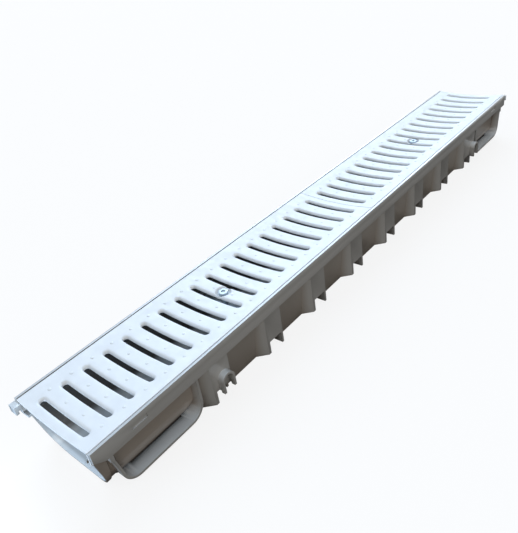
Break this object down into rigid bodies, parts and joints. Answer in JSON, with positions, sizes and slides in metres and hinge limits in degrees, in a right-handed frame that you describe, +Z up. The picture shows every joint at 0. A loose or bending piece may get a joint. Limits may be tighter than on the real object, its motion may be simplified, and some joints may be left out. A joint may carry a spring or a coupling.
{
  "type": "drainage channel",
  "caption": "Shallow moulded plastic drainage channel with dished slotted steel grates, each locked down by a screw and a turning clamp bar.",
  "frame": {"origin": "Underside of the trough floor, middle of the length and width.", "axes": "+Y along the channel from the near end to the far end, +X across it, +Z up."},
  "size_m": [0.1426, 1.016, 0.075],
  "materials": {
    "body_plastic": "moulded polypropylene, taupe grey, satin",
    "galvanised_sheet": "hot-dip galvanised pressed sheet, pale",
    "screw_steel": "zinc-plated",
    "bar_steel": "zinc-plated flat bar"
  },
  "bodies": {
    "channel": {"channel_body": "body_plastic", "grate_near": "galvanised_sheet", "grate_far": "galvanised_sheet", "washer_near": "screw_steel", "washer_far": "screw_steel"},
    "clamp_near": {"screw_near": "screw_steel", "clamp_bar_near": "bar_steel", "nut_near": "screw_steel"},
    "clamp_far": {"screw_far": "screw_steel", "clamp_bar_far": "bar_steel", "nut_far": "screw_steel"}
  },
  "joints": [
    {"name": "clamp_near_turn", "type": "hinge", "parent": "channel", "child": "clamp_near", "pos_m": [0, -0.25025, 0.05], "axis": [0, 0, 1], "range_deg": [0, 90]},
    {"name": "clamp_far_turn", "type": "hinge", "parent": "channel", "child": "clamp_far", "pos_m": [0, 0.25025, 0.05], "axis": [0, 0, 1], "range_deg": [0, 90]}
  ]
}
